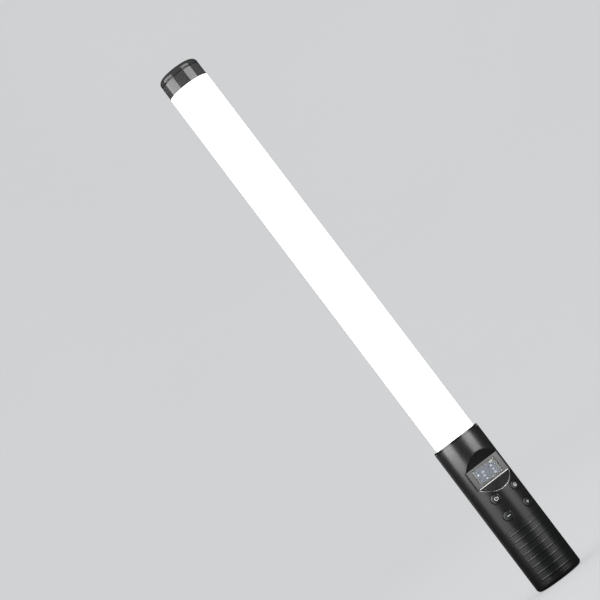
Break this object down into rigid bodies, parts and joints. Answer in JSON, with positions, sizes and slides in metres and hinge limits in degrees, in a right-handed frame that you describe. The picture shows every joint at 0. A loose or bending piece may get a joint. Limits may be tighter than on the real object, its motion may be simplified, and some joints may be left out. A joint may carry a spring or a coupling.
{
  "type": "led light tube",
  "caption": "Hand-held LED light tube: a round handle with a display and keys, a long milky diffuser and a tripod socket in the butt.",
  "frame": {"origin": "centre of the butt's flat end face, which the light stands on", "axes": "+Z along the tube, from the butt to the tip; the display and the keys face -Y; +X is to the right of someone who faces the display"},
  "size_m": [0.043, 0.044, 0.52],
  "materials": {
    "shell": "satin",
    "gloss": "gloss",
    "grip": "matte",
    "key": "satin",
    "cap": "gloss",
    "rubber": "matte",
    "chrome": "polished",
    "steel": "satin",
    "brass": "satin",
    "aluminium": "satin",
    "lens": "gloss",
    "panel": "gloss",
    "board": "satin",
    "led_board": "satin",
    "diffuser": "satin",
    "cell": "gloss",
    "nickel": "satin",
    "plastic": "matte",
    "wire": "satin"
  },
  "bodies": {
    "wand": {"front_shell": "shell", "rear_shell": "shell", "butt_cap": "shell", "tripod_insert": "brass", "tube_collar": "gloss", "front_grip_pad": "grip", "rear_grip_pad": "grip", "shell_screw_1": "steel", "shell_screw_2": "steel", "shell_screw_3": "steel", "shell_screw_4": "steel", "display_bezel": "gloss", "display_lens": "lens", "display_panel": "panel", "display_trim": "chrome", "key_switch_1": "plastic", "key_switch_2": "plastic", "key_switch_3": "plastic", "key_switch_4": "plastic", "main_board": "board", "board_screw_1": "steel", "board_screw_2": "steel", "harness_plug": "plastic", "led_harness": "wire", "battery_lead": "wire", "charge_board": "board", "usb_port": "steel", "battery_cell_1": "cell", "battery_cell_2": "cell", "battery_cradle": "plastic", "battery_tab_lower": "nickel", "battery_tab_upper": "nickel", "diffuser_tube": "diffuser", "tube_socket": "plastic", "tube_seal": "rubber", "led_spine": "aluminium", "led_board_1": "led_board", "led_board_2": "led_board", "led_board_3": "led_board", "spine_plate": "plastic", "tip_cap": "cap", "tip_seal": "rubber", "tip_dome": "cap", "tip_screw": "steel"},
    "power_key_body": {"power_key": "key", "key_plunger_1": "plastic"},
    "mode_key_body": {"mode_key": "key", "key_plunger_2": "plastic"},
    "down_key_body": {"down_key": "key", "key_plunger_3": "plastic"},
    "up_key_body": {"up_key": "key", "key_plunger_4": "plastic"},
    "port_flap_body": {"port_flap": "rubber"}
  },
  "joints": [
    {"name": "power_key_press", "type": "slide", "parent": "wand", "child": "power_key_body", "axis": [0, 1, 0], "range_m": [0, 0.0006], "stiffness_N_per_m": 4000},
    {"name": "mode_key_press", "type": "slide", "parent": "wand", "child": "mode_key_body", "axis": [0, 1, 0], "range_m": [0, 0.0006], "stiffness_N_per_m": 4000},
    {"name": "down_key_press", "type": "slide", "parent": "wand", "child": "down_key_body", "axis": [0, 1, 0], "range_m": [0, 0.0006], "stiffness_N_per_m": 4000},
    {"name": "up_key_press", "type": "slide", "parent": "wand", "child": "up_key_body", "axis": [0, 1, 0], "range_m": [0, 0.0006], "stiffness_N_per_m": 4000},
    {"name": "port_flap_hinge", "type": "hinge", "parent": "wand", "child": "port_flap_body", "pos_m": [0, 0.0206, 0.1029], "axis": [1, 0, 0], "range_deg": [0, 110]}
  ]
}
